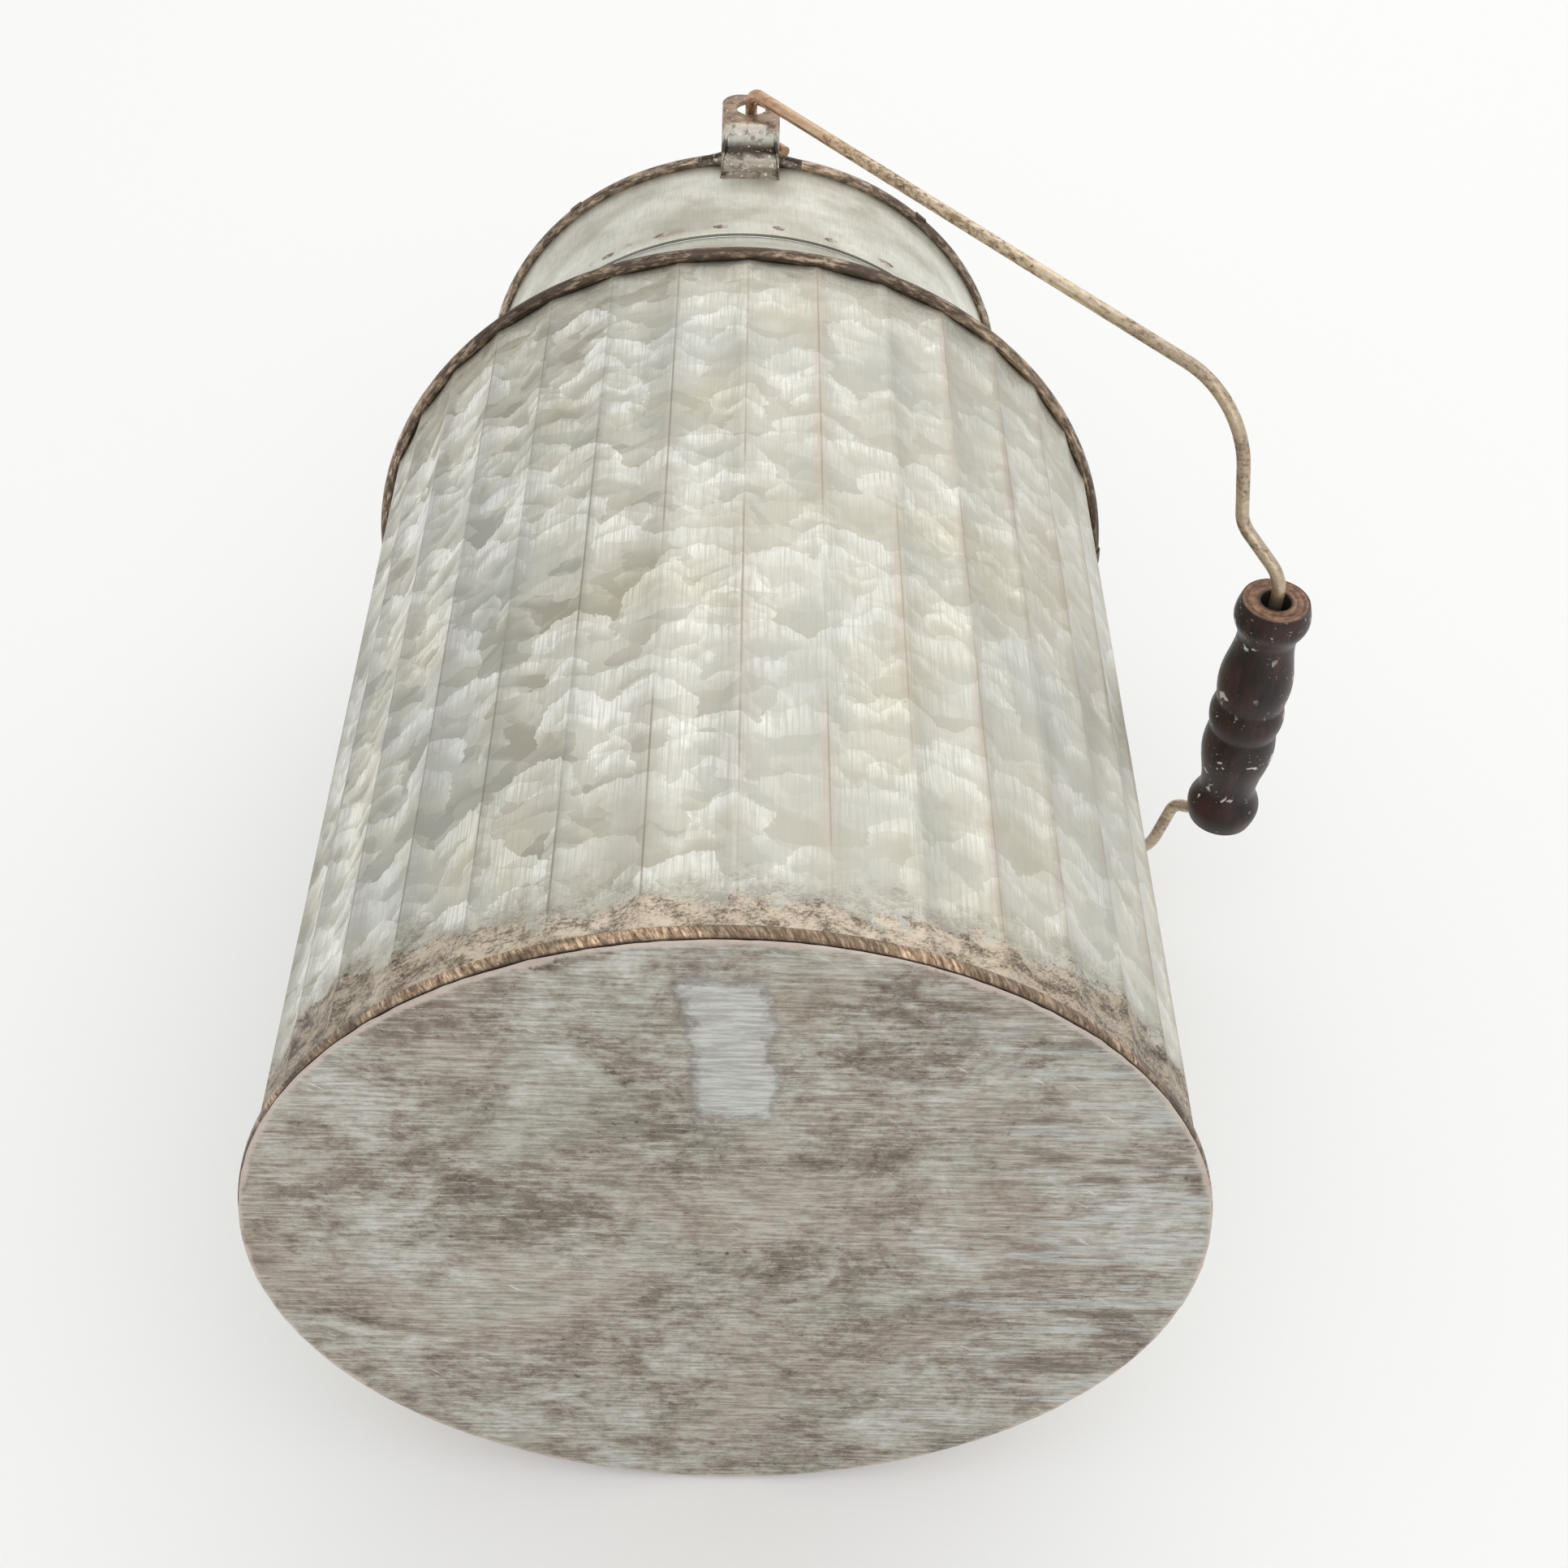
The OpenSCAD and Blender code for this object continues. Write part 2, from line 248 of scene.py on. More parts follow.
OLIVE = (0.36, 0.34, 0.275)
ZINC_MID = (0.53, 0.51, 0.43)
ZINC_PALE = (0.68, 0.665, 0.59)
ZINC_WHITE = (0.90, 0.90, 0.84)
ZINC_BLUE = (0.42, 0.47, 0.47)
STRAW = (0.86, 0.80, 0.62)
PATINA = (0.135, 0.102, 0.069)
PATINA_LIGHT = (0.68, 0.56, 0.425)
RIDGE_PAINTED_SHADE = (0.33, 0.33, 0.30)
RIDGE_STAIN = (0.48, 0.385, 0.285)
RIDGE_LINE = (0.19, 0.165, 0.14)
TONGUE_DARK = (0.075, 0.055, 0.037)
TONGUE_LIGHT = (0.47, 0.37, 0.265)
BRUSHED_GREY = (0.40, 0.385, 0.33)
RIGHT_SIDE_PAINTED_SHADE = (0.42, 0.40, 0.34)
GRAIN_GREY = (0.33, 0.31, 0.27)
HAZE = (0.17, 0.15, 0.10)
WELD_BROWN = (0.33, 0.23, 0.17)
GAP_BLACK = (0.07, 0.07, 0.06)
WELD_DARK = (0.20, 0.145, 0.11)
WELD_LIGHT = (0.66, 0.60, 0.52)
BASE_TAN = (0.40, 0.32, 0.255)
BASE_GREEN = (0.33, 0.345, 0.27)
STREAK_PALE = (0.52, 0.55, 0.54)
STREAK_DARK = (0.15, 0.115, 0.085)
BRUSH_DARK = (0.15, 0.12, 0.095)
BRUSH_PALE = (0.68, 0.68, 0.64)
SCUFF_PALE = (0.74, 0.75, 0.72)
PIT_DARK = (0.05, 0.037, 0.028)
PATCH_EDGE = (0.12, 0.09, 0.065)
PATCH_PALE = (0.62, 0.64, 0.625)
PATCH_GREY = (0.44, 0.44, 0.41)
LIP_PINK = (0.60, 0.50, 0.44)
HEM_DARK = (0.09, 0.066, 0.046)
HEM_EDGE = (0.04, 0.03, 0.024)
SOOT = (0.035, 0.026, 0.02)
COPPER = (0.52, 0.27, 0.145)
GREY_WIRE = (0.27, 0.215, 0.165)
STRAP_DARK = (0.09, 0.07, 0.055)
STRAP_SPECK = (0.78, 0.62, 0.48)
VARNISH_RED = (0.065, 0.020, 0.016)
CHIP_PALE = (0.66, 0.60, 0.54)
END_STAIN = (0.06, 0.025, 0.02)
BORE_DARK = (0.03, 0.018, 0.014)


def unrolled(s, radius):
    """Angle from the front ear, arc length round the pail and height, in radians and metres."""
    x, y, z = s.axes()
    turn = s.math("ARCTAN2", x, s.times(y, -1.0))
    return turn, s.times(turn, radius), z


def scale_row(s, arc, row, width, seed):
    """Arched upper edge of one row of crystal scales, and the tint of the scale below it."""
    shift = s.hashed(s.vector(row, seed, 1.7))
    across = s.plus(s.math("DIVIDE", arc, width), shift)
    cell = s.math("FLOOR", across)
    tint = s.hashed(s.vector(cell, row, seed))
    local = s.minus(s.times(s.minus(across, cell), 2.0), 1.0)
    bow = s.minus(1.0, s.math("POWER", s.size(local), 1.3))
    arch = s.times(bow, s.plus(s.times(tint, 0.55), 0.22))
    return arch, tint


def scales(s, arc, z, width, height, seed):
    """Overlapping scales: how far a spot lies below its scale's edge, and the scale's tint."""
    flat = s.vector(arc, z, seed)
    drift = s.shifted(s.noise(flat, 0.8 / width, 5.0, 0.66, out="Color"), (-0.5, -0.5, -0.5))
    shift_arc, shift_z, _ = s.axes(drift)
    arc = s.plus(arc, s.times(shift_arc, 1.1 * width))
    level = s.math("DIVIDE", s.plus(z, s.times(shift_z, 1.9 * height)), height)
    row = s.math("FLOOR", level)
    part = s.minus(level, row)
    arch_low, tint_low = scale_row(s, arc, row, width, seed)
    arch_high, tint_high = scale_row(s, arc, s.plus(row, 1.0), width, seed)
    inside = s.math("GREATER_THAN", arch_low, part)
    depth_low = s.minus(arch_low, part)
    depth_high = s.minus(s.plus(arch_high, 1.0), part)
    depth = s.blend(inside, depth_high, depth_low)
    return depth, s.blend(inside, tint_high, tint_low)


def spangle_value(s, arc, z):
    """Brightness of the crystal pattern: each scale is bright under its edge and fades down."""
    depth_large, tint_large = scales(s, arc, z, 19 * MM, 9.5 * MM, 0.0)
    depth_small, tint_small = scales(s, arc, z, 10 * MM, 5.0 * MM, 3.1)
    large = s.times(s.step(depth_large, 1.10, 0.10, 0.28, 1.0),
                    s.step(tint_large, 0.0, 0.8, 0.25, 1.0))
    small = s.times(s.step(depth_small, 1.05, 0.10, 0.2, 1.0),
                    s.step(tint_small, 0.35, 0.95))
    shard = s.facets(s.vector(arc, s.times(z, 1.5)), 105.0)
    patchy = s.step(s.noise(s.vector(arc, z), 42.0, 2.0), 0.42, 0.60, 0.12, 0.52)
    both = s.plus(s.times(large, 0.58), s.times(small, patchy))
    both = s.plus(both, s.times(s.minus(shard, 0.62), 0.36))
    return s.plus(both, s.times(tint_large, 0.16), clamp=True)


def ridge_marks(s, turn, flat, zinc):
    """A thin dark line and a warm stain beside each ridge, broken in places, and a grey painted
    shade on one side of each ridge, stronger on the left.
    """
    phase = s.math("FRACT", s.plus(s.times(turn, FLUTES / math.tau), 0.5))
    offset = s.times(s.minus(phase, 0.5), math.tau * BODY_R / FLUTES)
    reach = s.size(offset)
    broken = s.step(s.noise(s.scaled(flat, (60.0, 14.0, 1.0)), 1.0, 3.0), 0.38, 0.62)
    right = s.step(turn, -0.35, 0.15, 0.2, 1.0)
    stain = s.times(s.step(reach, 3.2 * MM, 0.3 * MM), s.times(broken, right))
    # Painted shade: a grey band on one side of each ridge, stronger on the left side of the pail.
    shade = s.times(s.step(offset, 8 * MM, 1.5 * MM), s.step(offset, -0.6 * MM, 0.4 * MM))
    zinc = s.mix(s.times(shade, s.step(turn, 0.3, -0.5, 0.10, 0.42)), zinc,
                 RIDGE_PAINTED_SHADE)
    zinc = s.mix(s.times(stain, 0.40), zinc, RIDGE_STAIN)
    line = s.times(s.step(reach, 0.36 * MM, 0.10 * MM),
                  s.times(s.step(broken, 0.0, 1.0, 0.12, 0.60),
                         s.step(turn, -0.2, 0.4, 1.0, 0.5)))
    return s.mix(line, zinc, RIDGE_LINE)


def edge_patina(s, turn, flat, z, zinc):
    """Patina creeps up from the hem and down from the bead in uneven speckled tongues."""
    ragged = s.times(s.noise(flat, 66.0, 6.0, 0.78), 36 * MM)
    sides = s.step(s.size(turn), 0.35, 1.0)
    above = s.minus(s.minus(z, ragged), HEM_TOP - 13.5 * MM)
    above = s.minus(above, s.times(sides, 10 * MM))
    low = s.step(above, 5.0 * MM, 3.0 * MM)
    rust = s.times(s.step(above, 15 * MM, 5 * MM), s.step(above, 0.0, 5 * MM))
    high = s.step(s.plus(z, s.times(ragged, 0.8)),
                  BODY_TOP - 6 * MM, BODY_TOP + 14 * MM)
    across, up, _ = s.axes(flat)
    slant = s.vector(s.plus(s.times(across, 760.0), s.times(up, 560.0)),
                     s.minus(s.times(up, 1400.0),
                            s.times(across, 700.0)))
    flecks = s.noise(slant, 1.0, 6.0, 0.85, 0.4)
    mottle = s.noise(s.scaled(flat, (150.0, 230.0, 1.0)), 1.0, 5.0, 0.75)
    speckle = s.weighed(flecks, 0.5, mottle)
    dark = s.mix(s.step(speckle, 0.44, 0.56), PATINA, ZINC_MID)
    bright = s.mix(s.step(speckle, 0.41, 0.56), PATINA, PATINA_LIGHT)
    brown = s.mix(s.step(speckle, 0.43, 0.60), TONGUE_DARK, TONGUE_LIGHT)
    bright = s.mix(s.times(sides, 0.9), bright, brown)
    grain = s.step(speckle, 0.36, 0.58, 0.45, 1.0)
    zinc = s.mix(s.times(s.times(high, grain), 0.62), zinc, dark)
    zinc = s.mix(s.times(s.times(rust, grain), 0.72), zinc, dark)
    zinc = s.mix(s.times(low, s.step(speckle, 0.38, 0.58, 1.0, 0.75)), zinc, bright)
    return zinc, s.plus(low, high, clamp=True)


def body_material():
    s = Shader("galvanised_flutes")
    turn, arc, z = unrolled(s, BODY_R)
    flat = s.vector(arc, z)
    # The crystals stand out most on the left side: painted reflection, stronger where that side
    # reflects more light.
    reflection_contrast = s.step(turn, 0.2, -0.7, 0.50, 1.0)
    mean = 0.46
    spangle = s.minus(spangle_value(s, arc, z), mean)
    spangle = s.plus(s.times(spangle, reflection_contrast), mean, clamp=True)
    zinc = s.ramp(spangle, ((0.02, OLIVE), (0.22, ZINC_MID), (0.46, ZINC_PALE),
                            (0.74, ZINC_WHITE)))
    cloud = s.noise(s.place, 20.0, 3.0, out="Color")
    blue, straw, _ = s.axes(cloud)
    zinc = s.mix(s.step(blue, 0.48, 0.66, 0.0, 0.34), zinc, ZINC_BLUE)
    zinc = s.mix(s.step(straw, 0.50, 0.68, 0.0, 0.40), zinc, STRAW, "MULTIPLY")
    brushed = s.noise(s.scaled(flat, (1900.0, 65.0, 1.0)), 1.0, 3.0, 0.65)
    streak = s.times(s.step(brushed, 0.42, 0.64), s.step(spangle, 0.2, 0.7, 0.15, 0.5))
    zinc = s.mix(streak, zinc, BRUSHED_GREY)
    # Painted shade: the right side of the body is greyed a little.
    zinc = s.mix(s.step(turn, -0.35, 0.2, 0.0, 0.15), zinc, RIGHT_SIDE_PAINTED_SHADE)
    zinc = ridge_marks(s, turn, flat, zinc)
    zinc, coverage = edge_patina(s, turn, flat, z, zinc)
    roughness = s.plus(s.times(spangle, -0.16),
                       s.plus(s.times(coverage, 0.15), 0.46))
    dents = s.noise(s.scaled(flat, (70.0, 24.0, 1.0)), 1.0, 2.0)
    height = s.plus(s.times(brushed, 0.06), dents)
    return s.surface(zinc, roughness, 0.6, height, 0.5 * MM)


def smooth_zinc_material():
    """The shoulder and collar: dull sheet with stains at the rim and under the ears."""
    s = Shader("smooth_zinc")
    _, arc, z = unrolled(s, COLLAR_R)
    flat = s.vector(arc, z)
    cloud = s.noise(s.scaled(flat, (34.0, 60.0, 1.0)), 1.0, 5.0, 0.6)
    zinc = s.ramp(cloud, ((0.34, (0.49, 0.47, 0.395)), (0.5, (0.65, 0.635, 0.555)),
                          (0.66, (0.78, 0.78, 0.71))))
    grain = s.noise(s.scaled(flat, (1500.0, 120.0, 1.0)), 1.0, 3.0, 0.6)
    zinc = s.mix(s.step(grain, 0.4, 0.7, 0.0, 0.22), zinc, GRAIN_GREY)
    # Haze under the rim, and a darker one below each ear
    ragged = s.times(s.noise(flat, 90.0, 5.0, 0.7), 12 * MM)
    rim_haze = s.step(s.plus(z, ragged), RIM_Z - 5 * MM, RIM_Z + 6 * MM)
    beside = s.size(s.axes()[0])
    ear_haze = s.times(s.step(s.plus(beside, ragged), 24 * MM, 10 * MM),
                      s.step(s.plus(z, ragged), EAR_LOW - 12 * MM, EAR_LOW + 4 * MM))
    haze = s.plus(s.times(rim_haze, 0.55), s.times(ear_haze, 0.55),
                  clamp=True)
    zinc = s.mix(haze, zinc, HAZE)
    # Brown smudges along the welds, and a dark gap at the collar's lower edge
    off_weld = s.size(s.minus(z, COLLAR_LOW + WELD_RISE))
    smudge = s.times(s.step(off_weld, 4 * MM, 0.5 * MM),
                    s.step(s.noise(flat, 95.0, 3.0, 0.6), 0.55, 0.66))
    zinc = s.mix(s.times(smudge, 0.45), zinc, WELD_BROWN)
    off_edge = s.size(s.minus(z, COLLAR_LOW - 0.2 * MM))
    zinc = s.mix(s.step(off_edge, 0.5 * MM, 0.15 * MM, 0.0, 0.7), zinc, GAP_BLACK)
    height = s.plus(s.times(grain, 0.1), s.noise(s.place, 70.0, 2.0))
    return s.surface(zinc, s.step(cloud, 0.3, 0.7, 0.50, 0.38), 0.6, height, 0.3 * MM)


def weld_material():
    s = Shader("weld_smudge")
    blot = s.noise(s.place, 300.0, 4.0, 0.7)
    colour = s.mix(s.step(blot, 0.38, 0.66), WELD_DARK, WELD_LIGHT)
    return s.surface(colour, 0.5, 0.6, blot, 0.2 * MM)


def base_patch(s, x, y, flat):
    """One rubbed patch near the front ear's side: coverage, 0 to 1."""
    lean = s.plus(s.times(s.plus(y, 78 * MM), -0.07), x)
    across = s.size(s.minus(lean, -0.5 * MM))
    along = s.size(s.plus(y, 78 * MM))
    frayed = s.times(s.noise(flat, 75.0, 6.0, 0.75), 17 * MM)
    return s.times(s.step(s.plus(across, frayed), 19 * MM, 15 * MM),
                  s.step(s.plus(along, frayed), 34 * MM, 29 * MM))


def base_material():
    """The bottom sheet: blue-grey zinc under brown, brushed one way, scuffed and rubbed."""
    s = Shader("mottled_base")
    x, y, z = s.axes()
    flat = s.vector(x, y)
    blotch = s.noise(s.scaled(flat, (30.0, 38.0, 1.0)), 1.0, 10.0, 0.70, 0.7)
    fine = s.noise(s.scaled(flat, (210.0, 250.0, 1.0)), 1.0, 6.0, 0.80)
    tone = s.weighed(blotch, 0.58, fine)
    colour = s.ramp(tone, ((0.37, (0.085, 0.062, 0.044)), (0.44, (0.220, 0.180, 0.140)),
                           (0.50, (0.385, 0.352, 0.300)), (0.56, (0.50, 0.49, 0.44)),
                           (0.66, (0.66, 0.68, 0.64))))
    tint = s.noise(flat, 21.0, 4.0, out="Color")
    warm, green, _ = s.axes(tint)
    colour = s.mix(s.step(warm, 0.44, 0.62, 0.0, 0.42), colour, BASE_TAN)
    colour = s.mix(s.step(green, 0.52, 0.66, 0.0, 0.35), colour, BASE_GREEN)
    # Streaks fan out towards +X
    side = s.step(x, 35 * MM, 80 * MM)
    wave = s.noise(s.scaled(flat, (20.0, 150.0, 1.0)), 1.0, 6.0, 0.65, 1.2)
    colour = s.mix(s.times(s.step(wave, 0.50, 0.62), s.times(side, 0.65)),
                   colour, STREAK_PALE)
    colour = s.mix(s.times(s.step(wave, 0.46, 0.38), s.times(side, 0.65)),
                   colour, STREAK_DARK)
    # Brush lines run along X, and scratches lie at a slant.
    lines = s.noise(s.scaled(flat, (75.0, 900.0, 1.0)), 1.0, 4.0, 0.75)
    colour = s.mix(s.step(lines, 0.47, 0.60, 0.0, 0.45), colour, BRUSH_DARK)
    colour = s.mix(s.step(lines, 0.49, 0.36, 0.0, 0.36), colour, BRUSH_PALE)
    slant = s.vector(s.plus(s.times(x, 60.0), s.times(y, 45.0)),
                     s.minus(s.times(y, 520.0), s.times(x, 420.0)))
    scuff = s.times(s.step(s.noise(slant, 1.0, 4.0, 0.7), 0.60, 0.72),
                   s.step(s.noise(flat, 34.0, 2.0), 0.46, 0.62))
    colour = s.mix(s.times(scuff, 0.8), colour, SCUFF_PALE)
    pits = s.times(s.step(s.noise(flat, 330.0, 6.0, 0.85), 0.54, 0.64),
                  s.step(blotch, 0.52, 0.42))
    colour = s.mix(s.times(pits, 0.8), colour, PIT_DARK)
    patch = base_patch(s, x, y, flat)
    rim = s.times(s.times(patch, s.minus(1.0, patch)), 2.4)
    colour = s.mix(rim, colour, PATCH_EDGE)
    veil = s.mix(s.step(lines, 0.42, 0.58), PATCH_PALE, PATCH_GREY)
    colour = s.mix(s.times(patch, 0.72), colour, veil)
    # The lip of the sheet is worn pale and a little pink.
    radius = s.reach(x, y)
    uneven = s.times(s.noise(flat, 70.0, 6.0, 0.75), 6.0 * MM)
    lip = s.step(s.plus(radius, uneven), 116.1 * MM, 117.2 * MM)
    colour = s.mix(s.times(lip, 0.75), colour, LIP_PINK)
    height = s.plus(s.times(lines, 0.35), s.times(blotch, 0.9))
    return s.surface(colour, s.step(tone, 0.4, 0.65, 0.62, 0.46), 0.3, height, 0.3 * MM)


def hem_material():
    s = Shader("brushed_bronze")
    turn, arc, z = unrolled(s, HEM_R)
    flat = s.vector(arc, z)
    slanted = s.vector(s.plus(s.times(arc, 1000.0), s.times(z, 500.0)),
                       s.times(z, 260.0))
    strokes = s.noise(slanted, 1.0, 5.0, 0.75)
    patches = s.noise(s.scaled(flat, (38.0, 90.0, 1.0)), 1.0, 5.0, 0.65)
    bronze = s.ramp(strokes, ((0.36, (0.12, 0.082, 0.055)), (0.5, (0.42, 0.29, 0.19)),
                              (0.62, (0.92, 0.70, 0.50))))
    front = s.step(s.size(turn), 1.25, 0.35)
    dark = s.times(s.step(patches, 0.60, 0.44), s.step(front, 0.0, 1.0, 0.95, 0.6))
    colour = s.mix(dark, bronze, HEM_DARK)
    colour = s.mix(s.step(z, SHEET + 0.7 * MM, SHEET + 0.1 * MM, 0.0, 0.85), colour,
                   HEM_EDGE)
    return s.surface(colour, s.step(strokes, 0.3, 0.7, 0.50, 0.30), 0.85, strokes, 0.2 * MM)


def along_ring(s):
    """Coordinates that run slowly along a bead or rim wire and fast across it."""
    x, y, z = s.axes()
    _, arc, _ = unrolled(s, RIM_R)
    radius = s.reach(x, y)
    return s.vector(s.times(arc, 0.3), radius, z)


def along_bail(s):
    """The same for the bail's arms, with the distance down from the swing axis."""
    reach = GRIP_CENTRE - PIVOT
    reach.y = 0
    reach.normalize()
    x, y, z = s.axes(s.shifted(s.place, tuple(-PIVOT)))
    down = s.plus(s.times(x, reach.x), s.times(z, reach.z))
    across = s.minus(s.times(x, reach.z), s.times(z, reach.x))
    return s.vector(s.times(down, 0.45), y, across), down


def worn_wire(s, place, dark, worn, rubbed_metal_and_highlight, amount):
    """Aged wire: dark patina, bright in patches that are partly rubbed metal and partly painted
    highlight, with copper and soot specks.
    """
    coarse = s.noise(place, 75.0, 4.0, 0.6)
    specks = s.noise(place, 760.0, 4.0, 0.75)
    level = s.weighed(coarse, 0.42, specks)
    colour = s.mix(s.step(level, 0.54 - amount, 0.66 - amount), dark, worn)
    # Bright specks: partly rubbed metal, partly painted highlight.
    rubbed = s.times(s.step(specks, 0.48, 0.66), s.step(coarse, 0.40, 0.62))
    colour = s.mix(s.times(rubbed, 0.7), colour, rubbed_metal_and_highlight)
    soot = s.times(s.step(s.noise(place, 820.0, 3.0), 0.56, 0.66),
                  s.step(coarse, 0.60, 0.44))
    return s.mix(s.times(soot, 0.7), colour, SOOT), level


def ring_wire_material(name, dark, worn, rubbed_metal_and_highlight, amount):
    s = Shader(name)
    colour, level = worn_wire(s, along_ring(s), dark, worn, rubbed_metal_and_highlight, amount)
    return s.surface(colour, s.step(level, 0.42, 0.58, 0.42, 0.27), 0.9, level, 0.12 * MM)


def bail_material():
    s = Shader("bail_patina")
    place, down = along_bail(s)
    colour, level = worn_wire(s, place, (0.34, 0.25, 0.17), (0.72, 0.58, 0.42),
                              (1.0, 0.90, 0.74), 0.15)
    colour = s.mix(s.step(down, 75 * MM, 10 * MM, 0.0, 0.62), colour, COPPER)
    colour = s.mix(s.step(down, 130 * MM, 205 * MM, 0.0, 0.45), colour, GREY_WIRE)
    return s.surface(colour, s.step(level, 0.42, 0.58, 0.42, 0.27), 0.9, level, 0.16 * MM)


def strap_material():
    """Ear strap: coppery tab, pale step with a painted highlight along its fold, painted shade in
    the recess over the rim, and a mottled foot.
    """
    s = Shader("strap_patina_and_painted_light")
    _, _, z = s.axes()
    rough = s.noise(s.place, 260.0, 5.0, 0.65)
    high = s.plus(s.minus(z, RIM_Z),
                  s.times(s.minus(rough, 0.5), 3.5 * MM))
    zone = s.math("DIVIDE", s.plus(high, 12 * MM), 42 * MM)
    # By height: mottled foot, painted shade where the strap bends over the rim, pale step with a
    # painted highlight at the fold, coppery tab.
    colour = s.ramp(zone, ((0.05, (0.22, 0.185, 0.15)), (0.20, (0.40, 0.365, 0.31)),
                           (0.255, (0.050, 0.040, 0.032)), (0.33, (0.09, 0.075, 0.062)),
                           (0.38, (0.42, 0.41, 0.37)), (0.455, (0.62, 0.57, 0.49)),
                           (0.50, (0.33, 0.235, 0.165)), (0.80, (0.36, 0.25, 0.18)),
                           (0.95, (0.22, 0.165, 0.125))))
    colour = s.mix(s.step(rough, 0.50, 0.64, 0.0, 0.65), colour, STRAP_DARK)
    colour = s.mix(s.step(s.noise(s.place, 700.0, 3.0), 0.58, 0.68, 0.0, 0.7), colour,
                   STRAP_SPECK)
    return s.surface(colour, s.step(rough, 0.35, 0.6, 0.28, 0.46), 0.9, rough, 0.2 * MM)


def grip_varnish_material():
    s = Shader("chipped_varnish")
    stretch = s.scaled(s.place, (260.0, 60.0, 260.0))
    figure = s.noise(stretch, 1.0, 5.0, 0.65)
    colour = s.ramp(figure, ((0.35, (0.009, 0.006, 0.005)), (0.52, (0.022, 0.011, 0.009)),
                             (0.72, (0.060, 0.020, 0.015))))
    glow = s.noise(s.place, 55.0, 2.0)
    colour = s.mix(s.step(glow, 0.50, 0.68, 0.0, 0.5), colour, VARNISH_RED)
    cluster = s.step(s.noise(s.place, 80.0, 2.0), 0.47, 0.58)
    flake = s.step(s.noise(s.place, 250.0, 3.0, 0.55, 0.5), 0.635, 0.655)
    dust = s.times(s.step(s.noise(s.place, 900.0, 2.0), 0.66, 0.72), 0.6)
    chips = s.times(s.plus(flake, dust, clamp=True), cluster)
    colour = s.mix(chips, colour, CHIP_PALE)
    height = s.minus(s.times(figure, 0.4), chips)
    return s.surface(colour, s.plus(s.times(chips, 0.4), 0.36), 0.0, height,
                     0.15 * MM, Specular_IOR_Level=0.36)


def bare_wood_material():
    """End grain round the wire hole, stained at its edge."""
    s = Shader("bare_end_grain")
    centred = s.shifted(s.place, tuple(-GRIP_CENTRE))
    x, _, z = s.axes(centred)
    radius = s.reach(x, z)
    rings = s.noise(s.vector(s.times(radius, 900.0), s.times(x, 90.0)),
                    1.0, 4.0, 0.6)
    rings = s.weighed(rings, 0.5, s.noise(centred, 420.0, 5.0, 0.7))
    colour = s.ramp(rings, ((0.38, (0.055, 0.028, 0.016)), (0.50, (0.19, 0.095, 0.050)),
                            (0.62, (0.40, 0.235, 0.14))))
    colour = s.mix(s.step(radius, 9.0 * MM, 10.6 * MM), colour, END_STAIN)
    colour = s.mix(s.step(radius, 5.6 * MM, 4.4 * MM), colour, BORE_DARK)
    return s.surface(colour, 0.62, 0.0, rings, 0.2 * MM)


def floor_material():
    """Pale seamless paper that glows faintly, a painted light that lightens the shadows round the
    pail. It shows from its front only, so that no view is blocked.
    """
    shade = (0.80, 0.80, 0.80)
    glow = 0.14
    s = Shader("paper")
    fibre = s.noise(s.place, 500.0, 3.0)
    s.surface(s.mix(fibre, tuple(v * 0.985 for v in shade), shade), 0.9, 0.0,
              Emission_Color=(1, 1, 1, 1), Emission_Strength=glow)
    clear = s.add("BsdfTransparent")
    side = s.add("NewGeometry").outputs["Backfacing"]
    choose = s.add("MixShader")
    s.feed(choose.inputs[0], side)
    s.feed(choose.inputs[1], s.bsdf.outputs[0])
    s.feed(choose.inputs[2], clear.outputs[0])
    s.feed(s.tree.nodes["Material Output"].inputs["Surface"], choose.outputs[0])
    return s.material


# ---------------------------------------------------------------- mesh helpers

def make_object(name, vertices, faces, material, body):
    mesh = bpy.data.meshes.new(name)
    mesh.from_pydata([tuple(v) for v in vertices], [], faces)
    mesh.validate()
    for polygon in mesh.polygons:
        polygon.use_smooth = True
    mesh.materials.append(material)
    piece = bpy.data.objects.new(name, mesh)
    bpy.context.scene.collection.objects.link(piece)
    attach(piece, body)
    return piece


def ring_faces(rows, columns, closed_rows, closed_columns):
    """Quads of a grid of vertices, row by row."""
    faces = []
    for i in range(rows if closed_rows else rows - 1):
        for j in range(columns if closed_columns else columns - 1):
            a = i * columns + j
            b = i * columns + (j + 1) % columns
            c = ((i + 1) % rows) * columns + (j + 1) % columns
            d = ((i + 1) % rows) * columns + j
            faces.append((a, b, c, d))
    return faces


def wander(angle, z, scale, seed):
    """Slow noise round the pail, -1 to 1."""
    spot = Vector((math.cos(angle) * scale, math.sin(angle) * scale, z * 20 + seed))
    return noise.noise(spot)


